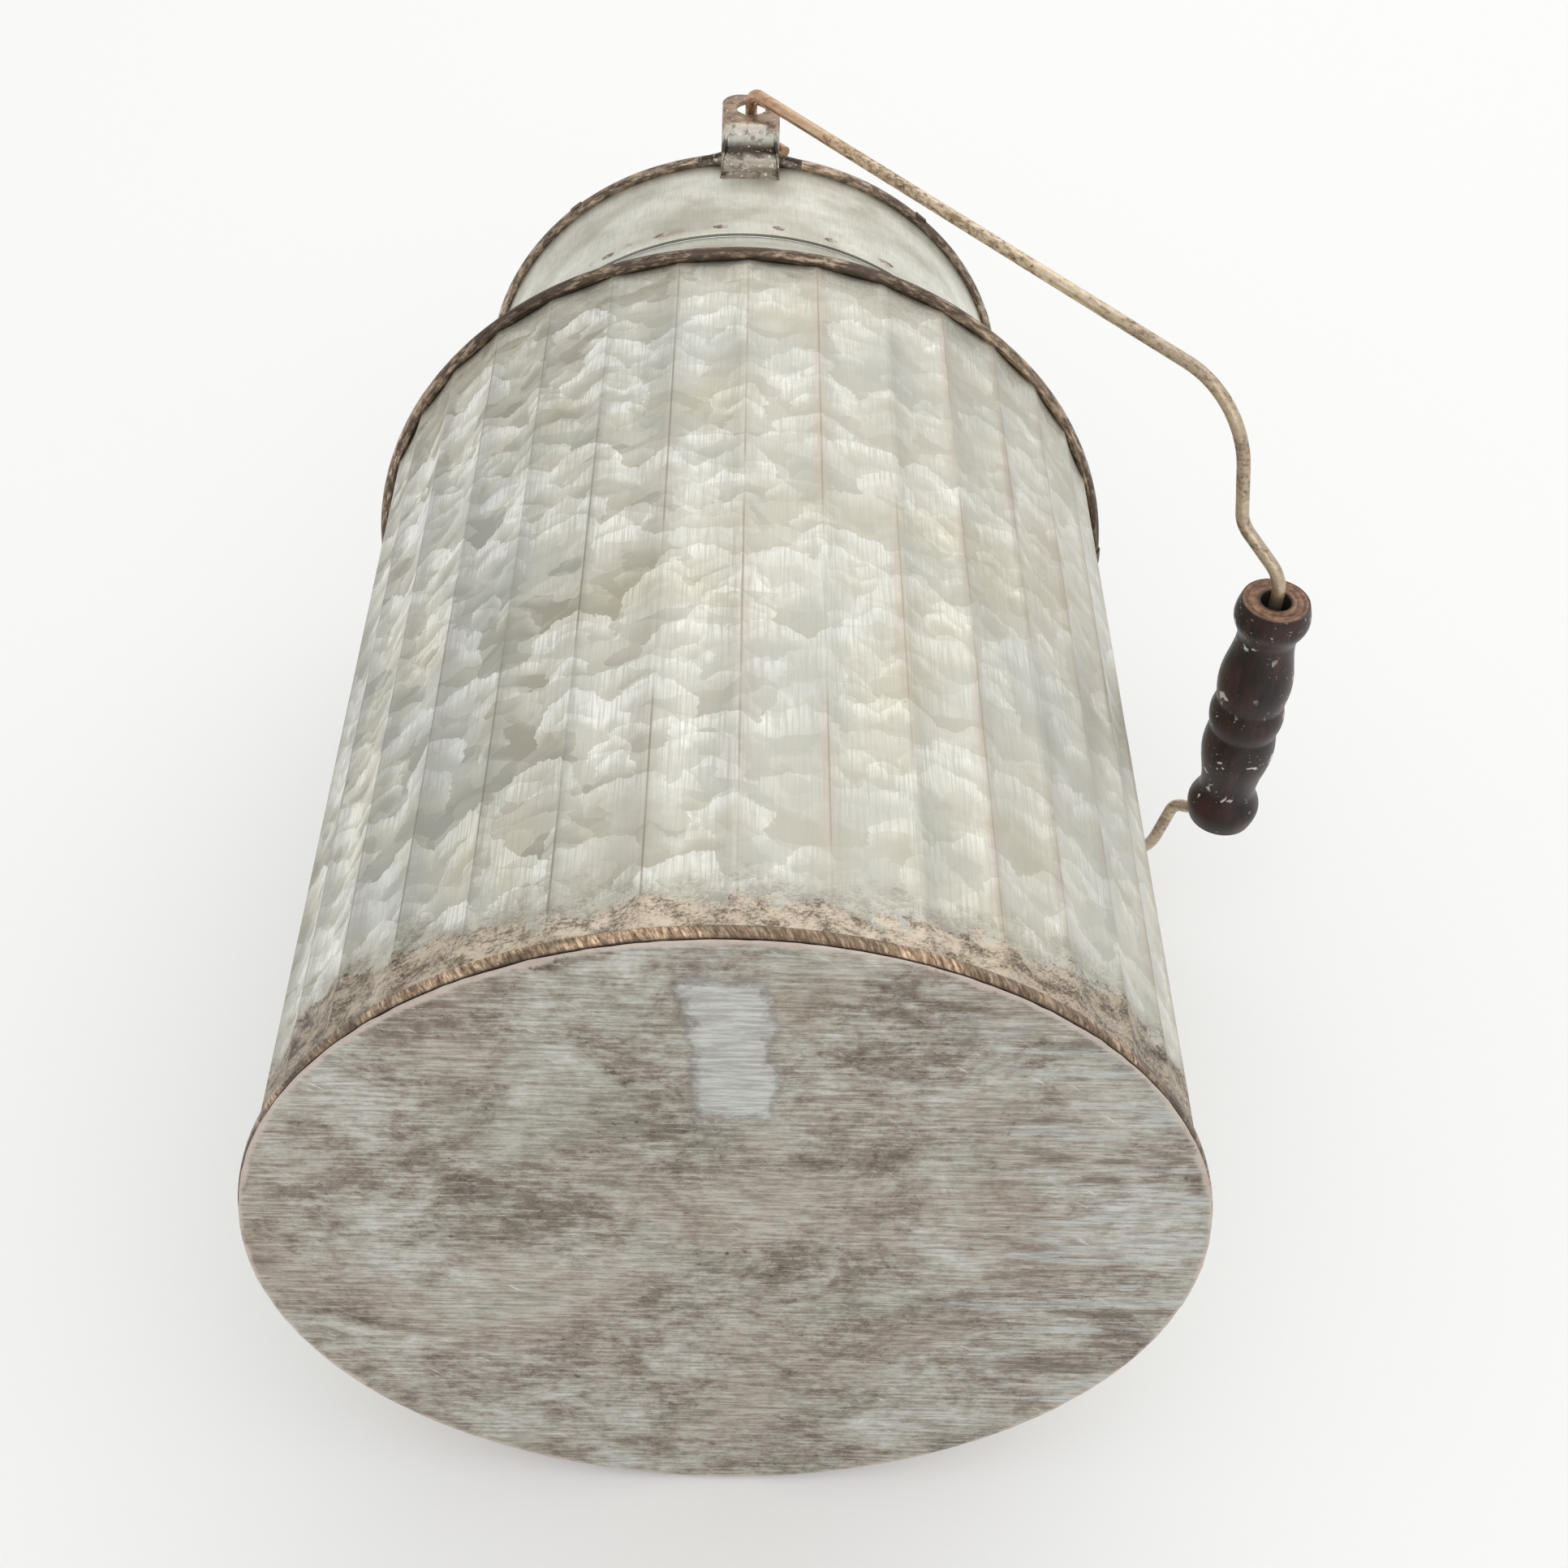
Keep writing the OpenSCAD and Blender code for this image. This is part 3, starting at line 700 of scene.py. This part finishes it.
def lathe(name, outline, material, body, steps=240, closed=True, wobble=0.0, seed=0.0,
          start=0.0, sweep=math.tau, crease=35):
    """Turns an outline of (radius, height) about the pail's axis, with a little unevenness."""
    whole = abs(sweep - math.tau) < 1e-6
    columns = steps if whole else steps + 1
    vertices = []
    for radius, z in outline:
        for j in range(columns):
            angle = start + sweep * j / steps
            r = radius + wobble * wander(angle, z, 3.0, seed)
            vertices.append((r * math.cos(angle), r * math.sin(angle),
                             z + wobble * wander(angle, z, 4.0, seed + 9)))
    faces = ring_faces(len(outline), columns, closed, whole)
    if not whole:
        faces.append(tuple(i * columns for i in range(len(outline))))
        faces.append(tuple(i * columns + columns - 1 for i in reversed(range(len(outline)))))
    piece = make_object(name, vertices, faces, material, body)
    piece.data.set_sharp_from_angle(angle=math.radians(crease))
    return piece


def circle_outline(radius, z, r, count=20):
    return [(radius + r * math.cos(math.tau * k / count), z + r * math.sin(math.tau * k / count))
            for k in range(count)]


def arc_points(centre, r, from_angle, to_angle, count):
    return [(centre[0] + r * math.cos(a), centre[1] + r * math.sin(a))
            for a in (math.radians(from_angle + (to_angle - from_angle) * k / count)
                      for k in range(count + 1))]


# ---------------------------------------------------------------- pieces of the pail

def flute_radius(angle, inset, depth):
    """Radius of the fluted sheet at an angle, for a face set in by inset."""
    half = math.pi / FLUTES
    floor_r = BODY_R - depth
    rise = BODY_R * math.cos(half) - floor_r
    bite = ((BODY_R * math.sin(half)) ** 2 + rise ** 2) / (2 * rise)
    centre = floor_r + bite
    local = (angle % (2 * half)) - half
    c = centre * math.cos(local)
    return c - math.sqrt(c * c - centre * centre + (bite + inset) ** 2)


def fluted_body(material):
    """The body sheet: hollow flutes with sharp ridges, dished a little here and there."""
    per_flute = 10
    rows = 56
    columns = FLUTES * per_flute
    low, high = SHEET, BODY_TOP
    vertices = []
    for inset, order in ((0.0, range(rows)), (SHEET, reversed(range(rows)))):
        for i in order:
            z = low + (high - low) * i / (rows - 1)
            fade = math.sin(math.pi * i / (rows - 1)) ** 0.5
            near_bead = max(0.0, 1 - (high - z) / (32 * MM)) ** 1.5
            near_hem = max(0.0, 1 - z / (18 * MM)) ** 1.5
            flat = near_bead + near_hem
            depth = FLUTE_DEPTH * (1 - 0.45 * flat)
            for j in range(columns):
                angle = math.tau * j / columns
                in_flute = math.sin(math.pi * (j % per_flute) / per_flute)
                dish = (wander(angle, z, 7.0, 2.0) * 0.35 * MM
                        + wander(angle, z * 2.2, 16.0, 5.0) * 0.22 * MM)
                r = flute_radius(angle, inset, depth) - abs(dish) * fade * (0.3 + 0.7 * in_flute)
                vertices.append((r * math.cos(angle), r * math.sin(angle), z))
    faces = ring_faces(2 * rows, columns, True, True)
    piece = make_object("fluted_sheet", vertices, faces, material, "pail")
    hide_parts("body_shell")


def bottom_sheet(material):
    """Flush bottom sheet with a slightly ragged lip, and its flange inside the body."""
    edge = HEM_R - 0.4 * MM
    flange_r = BODY_R - FLUTE_DEPTH - SHEET
    flange_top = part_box("bottom_disc")[1].z
    rings = [CENTRE_R + (edge - 1.2 * MM) * k / 24 for k in range(25)]
    outline = [(r, 0.0) for r in rings]
    outline += arc_points((edge - 0.45 * MM, 0.45 * MM), 0.45 * MM, -90, 90, 6)
    outline += [(flange_r, SHEET), (flange_r, flange_top), (flange_r - SHEET, flange_top),
                (flange_r - SHEET, SHEET), (CENTRE_R, SHEET)]
    piece = lathe("bottom_sheet", outline, material, "pail", steps=288)
    for vertex in piece.data.vertices:
        x, y, z = vertex.co
        r = math.hypot(x, y)
        if r > edge - 1.0 * MM:
            angle = math.atan2(y, x)
            nick = 0.22 * MM * wander(angle, 0, 26.0, 1.0) + 0.12 * MM * wander(angle, 0, 90.0, 4.0)
            scale = (r + min(nick, 0.2 * MM)) / r
            vertex.co = (x * scale, y * scale, z)
    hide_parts("bottom_disc")


def hem_band(material):
    """Rolled band round the foot."""
    crown = HEM_R - BODY_R
    outline = [(BODY_R - 1.2 * MM, SHEET), (HEM_R - 0.35 * MM, SHEET)]
    outline += arc_points((HEM_R - crown * 0.55, HEM_TOP * 0.52), crown * 0.55, -60, 0, 4)
    outline += arc_points((HEM_R - crown * 0.6, HEM_TOP - crown * 0.6), crown * 0.6, 0, 90, 6)
    outline += [(BODY_R - 1.2 * MM, HEM_TOP)]
    piece = lathe("hem_band", outline, material, "pail", steps=288,
                  wobble=0.12 * MM, seed=3.0)
    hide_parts("base_hem")


def shoulder_outline(inset):
    """Outside of the shoulder from its foot to the neck's top, set in by inset."""
    foot = (BODY_R - 1 * MM, BODY_TOP)
    slope = math.atan2(NECK_CORNER_Z - foot[1], NECK_R - foot[0])
    turn = slope - math.pi / 2
    centre = (NECK_R + NECK_BLEND_R, NECK_CORNER_Z + NECK_BLEND_R * math.tan(turn / 2))
    points = [(foot[0] - inset, foot[1])]
    for k in range(13):
        a = turn * (1 - k / 12)
        points.append((centre[0] - (NECK_BLEND_R + inset) * math.cos(a),
                       centre[1] - (NECK_BLEND_R + inset) * math.sin(a)))
    points.append((NECK_R - inset, NECK_TOP))
    return points


def weld_smears(material):
    """Thin, uneven smears of weld round the collar, just above its lower edge."""
    rows, columns = 4, 14
    vertices = []
    faces = []
    for i in range(WELD_COUNT):
        drift = Vector((i * 3.7, 1.3, 0.4))
        middle = math.tau * i / WELD_COUNT + 0.022 * noise.noise(drift)
        z_middle = COLLAR_LOW + WELD_RISE + 0.9 * MM * noise.noise(drift + Vector((0, 5, 0)))
        long = (3.0 + 1.8 * noise.noise(drift + Vector((0, 9, 0)))) * MM
        start = len(vertices)
        for ring in range(rows):
            share = ring / (rows - 1)
            for j in range(columns):
                a = math.tau * j / columns
                rag = 1 + 0.3 * noise.noise(drift * 3 + Vector((math.cos(a), math.sin(a), 2)) * 1.7)
                turn = middle + long * share * rag * math.cos(a) / COLLAR_R
                r = COLLAR_R + 0.22 * MM * (1 - share ** 2) - 0.04 * MM
                z = z_middle + 1.35 * MM * share * rag * math.sin(a)
                vertices.append((r * math.cos(turn), r * math.sin(turn), z))
        faces += [tuple(start + k for k in face) for face in ring_faces(rows, columns, False, True)]
    piece = make_object("weld_smears", vertices, faces, material, "pail")
    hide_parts("collar_spot_welds")


def shoulder_and_collar(material):
    outer = shoulder_outline(0.0)
    inner = shoulder_outline(SHEET)
    outline = outer + list(reversed(inner))
    shoulder = lathe("sloping_shoulder", outline, material, "pail",
                     wobble=0.1 * MM, seed=6.0)
    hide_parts("shoulder", "neck")
    top = RIM_Z - 0.8 * MM
    rows = [COLLAR_LOW + (top - COLLAR_LOW) * k / 12 for k in range(13)]
    outline = [(COLLAR_R, z) for z in rows] + [(COLLAR_R - SHEET * 0.97, z) for z in reversed(rows)]
    collar = lathe("upright_collar", outline, material, "pail",
                   wobble=0.02 * MM, seed=8.0)
    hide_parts("collar")


def wire_ring(name, node, radius, z, r, material, start=0.0, sweep=math.tau, seed=0.0):
    """Length of bead or rim wire, slightly uneven as rolled edges are."""
    steps = max(24, round(288 * sweep / math.tau))
    piece = lathe(name, circle_outline(radius, z, r * 0.96), material, "pail",
                  steps=steps, wobble=0.12 * MM, seed=seed, start=start, sweep=sweep, crease=60)
    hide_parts(node)


def beads_and_rims(bead_material, rim_material):
    wire_ring("shoulder_wire", "shoulder_bead", BEAD_R, BEAD_Z, BEAD_WIRE_R, bead_material,
              seed=1.0)
    ear_span = math.radians(80)
    side_span = math.pi - ear_span
    for name, node, start, sweep in (
            ("rim_wire_front", "rim_front", -math.pi / 2 - ear_span / 2, ear_span),
            ("rim_wire_back", "rim_back", math.pi / 2 - ear_span / 2, ear_span),
            ("rim_wire_left", "rim_left", math.pi / 2 + ear_span / 2, side_span),
            ("rim_wire_right", "rim_right", -math.pi / 2 + ear_span / 2, side_span)):
        wire_ring(name, node, RIM_R, RIM_Z, RIM_WIRE_R, rim_material, start, sweep, seed=start)


# ---------------------------------------------------------------- ears

def rounded_path(corners, bend, count=6):
    """Centreline through corners, each rounded off over the length bend."""
    points = [Vector(corners[0])]
    for before, at, after in zip(corners, corners[1:], corners[2:]):
        before, at, after = Vector(before), Vector(at), Vector(after)
        reach = min(bend, (at - before).length / 2, (after - at).length / 2)
        a = at + (before - at).normalized() * reach
        b = at + (after - at).normalized() * reach
        for k in range(count + 1):
            t = k / count
            points.append(a * (1 - t) ** 2 + at * 2 * t * (1 - t) + b * t ** 2)
    points.append(Vector(corners[-1]))
    return points


def along(path, distance):
    """Point on a path at a distance from its start."""
    for a, b in zip(path, path[1:]):
        step = (b - a).length
        if distance <= step or b is path[-1]:
            return a + (b - a) * (distance / step)
        distance -= step
    return path[-1]


def ear_strap(name, node, turn, material):
    """Bent strap with rounded folds, clipped corners and a punched hole."""
    foot_r = COLLAR_R + EAR_T / 2
    fold_r = RIM_R + RIM_WIRE_R + EAR_T / 2
    tab_r = TAB_R + EAR_T / 2
    corners = [(foot_r, EAR_LOW), (foot_r, RIM_Z - 4.7 * MM), (fold_r, RIM_Z - 1.8 * MM),
               (fold_r, RIM_Z + 2.6 * MM), (tab_r, RIM_Z + 7.4 * MM), (tab_r, EAR_TOP)]
    path = rounded_path(corners, 1.9 * MM)
    length = sum((b - a).length for a, b in zip(path, path[1:]))
    hole_at = length - (EAR_TOP - PIVOT.z)
    half = EAR_HALF_W
    clip = 5.5 * MM
    outline = [(-half, 0.0), (half, 0.0), (half, length - clip)]
    outline += [(half - clip * (1 - math.cos(a)), length - clip + clip * math.sin(a))
                for a in (math.radians(15 * k) for k in range(1, 7))]
    outline += [(-x, y) for x, y in reversed(outline[2:])]
    hole = [(EAR_HOLE_R * math.cos(a), hole_at + EAR_HOLE_R * math.sin(a))
            for a in (math.tau * k / 40 for k in range(40))]
    fill = []
    columns, rows = 14, 60
    for i in range(1, rows):
        for j in range(1, columns):
            spot = (half * (2 * j / columns - 1) * 0.98, length * i / rows)
            clear_of_hole = math.dist(spot, (0, hole_at)) > EAR_HOLE_R + 0.35 * MM
            top = spot[1] - (length - clip)
            inside = top < 0 or math.hypot(max(abs(spot[0]) - (half - clip), 0), top) < clip * 0.95
            if clear_of_hole and inside:
                fill.append(spot)
    flat = [Vector(p) for p in outline + hole + fill]
    ring = list(range(len(outline)))
    cut = list(range(len(outline), len(outline) + len(hole)))
    edges = list(zip(ring, ring[1:] + ring[:1])) + list(zip(cut, cut[1:] + cut[:1]))
    flat, _, faces, *_ = geometry.delaunay_2d_cdt(flat, edges, [], 1, 1e-7)
    faces = [f for f in faces
             if (sum((flat[i] for i in f), Vector((0, 0))) / len(f) - Vector((0, hole_at))).length
             > EAR_HOLE_R * 0.98]
    vertices = []
    for x, up in flat:
        radius, z = along(path, up)
        dent = 0.15 * MM * noise.noise(Vector((x * 180, up * 180, turn)))
        angle = -math.pi / 2 + x / radius + turn
        vertices.append(((radius + dent) * math.cos(angle), (radius + dent) * math.sin(angle), z))
    piece = make_object(name, vertices, faces, material, "pail")
    solid = piece.modifiers.new("thickness", "SOLIDIFY")
    solid.thickness = EAR_T * 0.96
    solid.offset = 0.0
    bevel = piece.modifiers.new("worn_edges", "BEVEL")
    bevel.width = 0.28 * MM
    bevel.segments = 2
    bevel.limit_method = "ANGLE"
    bevel.angle_limit = math.radians(50)
    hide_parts(node)


def ear_solder(name, node, turn, material):
    """Lumpy solder fillet under the strap and out past its sides."""
    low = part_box(node)[0].z + 1.2 * MM
    half = math.radians(6.35)
    columns, rows = 44, 9
    vertices = []
    for i in range(rows):
        up = i / (rows - 1)
        for j in range(columns):
            side = 2 * j / (columns - 1) - 1
            fade = (1 - side ** 4)
            lump = 1 + 0.35 * noise.noise(Vector((side * 6, up * 3, turn + 5)))
            out = 0.05 * MM + (EAR_T * 0.95 * up ** 1.4) * fade * lump
            angle = -math.pi / 2 + half * side + turn
            z = EAR_LOW - (EAR_LOW - low) * (1 - up) * (0.75 + 0.25 * fade)
            r = COLLAR_R + out
            vertices.append((r * math.cos(angle), r * math.sin(angle), z))
    piece = make_object(name, vertices, ring_faces(rows, columns, False, False), material,
                        "pail")
    solid = piece.modifiers.new("depth", "SOLIDIFY")
    solid.thickness = 0.5 * MM
    solid.offset = -1.0
    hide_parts(node)


def rim_flares(name, turn, material):
    """Solder that flares out from both edges of a strap along the rim wire."""
    length = 8 * MM
    rings, columns = 10, 16
    vertices = []
    faces = []
    for side in (-1, 1):
        start = len(vertices)
        for i in range(rings):
            t = i / (rings - 1)
            angle = -math.pi / 2 + turn + side * (EAR_HALF_W - 0.6 * MM + length * t) / RIM_R
            swell = 0.42 * MM * (1 - t) ** 2
            for j in range(columns):
                a = math.tau * j / columns
                lump = 1 + 0.25 * noise.noise(Vector((t * 4, math.cos(a), math.sin(a) + side)))
                r = RIM_R + swell + (RIM_WIRE_R * 0.97 + swell * lump) * math.cos(a)
                z = RIM_Z + (RIM_WIRE_R * 0.97 + swell * lump) * math.sin(a)
                vertices.append((r * math.cos(angle), r * math.sin(angle), z))
        faces += [tuple(start + k for k in face) for face in ring_faces(rings, columns, False, True)]
    make_object(name, vertices, faces, material, "pail")


# ---------------------------------------------------------------- grip

GRIP_R = 11.3 * MM
GRIP_NECK_R = 8.8 * MM
# Distance from the middle, radius, and whether the lathe cut in to a sharp corner there
GRIP_STATIONS = ((0.0, GRIP_R + 0.1 * MM, False), (5.8 * MM, GRIP_R - 1.0 * MM, True),
                 (13.5 * MM, GRIP_R - 0.1 * MM, False), (31 * MM, GRIP_NECK_R, False),
                 (GRIP_L / 2 - 5.8 * MM, GRIP_R, False), (GRIP_L / 2, GRIP_R - 1.2 * MM, True))


def turned_radius(a, b, t):
    if a[2]:
        blend = math.sin(math.pi / 2 * t)
    elif b[2]:
        blend = 1 - math.cos(math.pi / 2 * t)
    else:
        blend = (1 - math.cos(math.pi * t)) / 2
    return a[1] + (b[1] - a[1]) * blend


def grip_half():
    points = []
    for a, b in zip(GRIP_STATIONS, GRIP_STATIONS[1:]):
        for k in range(12):
            t = k / 12
            points.append((a[0] + (b[0] - a[0]) * t, turned_radius(a, b, t)))
    points.append(GRIP_STATIONS[-1][:2])
    return points


def turned_grip(varnish, bare):
    """Turned grip with its bored ends. The end faces are bare wood."""
    half = grip_half()
    mouth_r = 4.5 * MM
    mouth_depth = 8 * MM
    end = GRIP_L / 2
    outer = [(-d, r) for d, r in reversed(half)][:-1] + list(half)
    inner = [(end, GRIP_R - 1.6 * MM), (end, (GRIP_R + mouth_r) / 2), (end, mouth_r + 0.3 * MM),
             (end - 0.3 * MM, mouth_r), (end - mouth_depth, mouth_r),
             (end - mouth_depth, WIRE_R + 0.1 * MM)]
    inner = inner + [(-d, r) for d, r in reversed(inner)]
    outline = outer + inner
    steps = 96
    vertices = []
    for d, r in outline:
        for j in range(steps):
            a = math.tau * j / steps
            vertices.append(GRIP_CENTRE + Vector((r * math.cos(a), d, r * math.sin(a))))
    faces = ring_faces(len(outline), steps, True, True)
    piece = make_object("turned_grip", vertices, faces, varnish, "grip")
    piece.data.materials.append(bare)
    for polygon in piece.data.polygons:
        off_axis = Vector((polygon.center.x - GRIP_CENTRE.x, 0, polygon.center.z - GRIP_CENTRE.z))
        if abs(polygon.normal.y) > 0.9 and off_axis.length < GRIP_R - 1.4 * MM:
            polygon.material_index = 1
        if off_axis.length < mouth_r + 0.1 * MM:
            polygon.material_index = 1
    piece.data.set_sharp_from_angle(angle=math.radians(32))
    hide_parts("grip")


# ---------------------------------------------------------------- CAD nodes that stay

def finish_nodes(**materials):
    """Gives each carried-over CAD node its material."""
    for name, material in materials.items():
        node = frame["nodes"][name]
        node.data.materials.clear()
        node.data.materials.append(material)


# ---------------------------------------------------------------- camera, light and floor

def add_plane(name, centre, normal, size, material):
    mesh = bpy.data.meshes.new(name)
    turn = Vector((0, 0, 1)).rotation_difference(Vector(normal))
    corners = [turn @ Vector((x * size, y * size, 0))
               for x, y in ((-1, -1), (1, -1), (1, 1), (-1, 1))]
    mesh.from_pydata([tuple(Vector(centre) + c) for c in corners], [], [(0, 1, 2, 3)])
    mesh.materials.append(material)
    plane = bpy.data.objects.new(name, mesh)
    bpy.context.scene.collection.objects.link(plane)


def add_light(name, location, target, size, power):
    data = bpy.data.lights.new(name, "AREA")
    data.shape = "DISK"
    data.size = size
    data.energy = power
    light = bpy.data.objects.new(name, data)
    light.location = location
    light.rotation_euler = (Vector(target) - Vector(location)).to_track_quat("-Z", "Y").to_euler()
    bpy.context.scene.collection.objects.link(light)


def add_camera():
    data = bpy.data.cameras.new("camera")
    data.lens = 47.5
    data.sensor_width = 36.0
    camera = bpy.data.objects.new("camera", data)
    camera.location = (-0.00184, -0.42983, -0.26705)
    camera.rotation_euler = [math.radians(v) for v in (134.65, 0.10, -2.0)]
    bpy.context.scene.collection.objects.link(camera)
    bpy.context.scene.camera = camera


def studio_world():
    """Soft white surroundings, dimmer on the left than on the right."""
    world = bpy.data.worlds.new("studio")
    world.use_nodes = True
    tree = world.node_tree
    place = tree.nodes.new("ShaderNodeTexCoord")
    split = tree.nodes.new("ShaderNodeSeparateXYZ")
    level = tree.nodes.new("ShaderNodeMapRange")
    tree.links.new(place.outputs["Generated"], split.inputs[0])
    tree.links.new(split.outputs["X"], level.inputs["Value"])
    for name, value in (("From Min", -0.9), ("From Max", 0.6), ("To Min", 0.75), ("To Max", 0.89)):
        level.inputs[name].default_value = value
    background = tree.nodes["Background"]
    background.inputs["Color"].default_value = (1.0, 1.0, 0.985, 1.0)
    tree.links.new(level.outputs["Result"], background.inputs["Strength"])
    bpy.context.scene.world = world


def light_scene():
    bpy.context.scene.view_settings.view_transform = "Standard"
    studio_world()
    middle = (0.0, 0.0, 0.18)
    add_light("overhead", (0.45, -1.5, 1.3), middle, 2.6, 7.6)
    add_light("front_fill", (0.1, -1.5, -0.9), middle, 1.8, 6.0)


def set_stage():
    lowest = radius_of("shoulder_bead") + 0.2 * MM
    add_plane("photo_floor", (0, lowest, 0), (0, -1, 0), 6.0, floor_material())


def build():
    zinc = body_material()
    smooth = smooth_zinc_material()
    bead = ring_wire_material("bead_patina", (0.105, 0.078, 0.058), (0.27, 0.205, 0.15),
                              (0.72, 0.55, 0.41), 0.07)
    rim = ring_wire_material("rim_patina", (0.14, 0.105, 0.08), (0.34, 0.265, 0.20),
                             (0.78, 0.61, 0.46), 0.09)
    strap = strap_material()
    fluted_body(zinc)
    bottom_sheet(base_material())
    hem_band(hem_material())
    shoulder_and_collar(smooth)
    weld_smears(weld_material())
    beads_and_rims(bead, rim)
    for side, turn in (("front", 0.0), ("back", math.pi)):
        ear_strap(f"strap_{side}", f"ear_{side}", turn, strap)
        ear_solder(f"solder_{side}", f"ear_{side}_solder", turn, strap)
        rim_flares(f"flares_{side}", turn, strap)
    turned_grip(grip_varnish_material(), bare_wood_material())
    finish_nodes(bail=bail_material(), body_seam=zinc, bead_joint=bead, rim_joints=bead,
                 shoulder_skirt=smooth)


build()
set_stage()
light_scene()
add_camera()
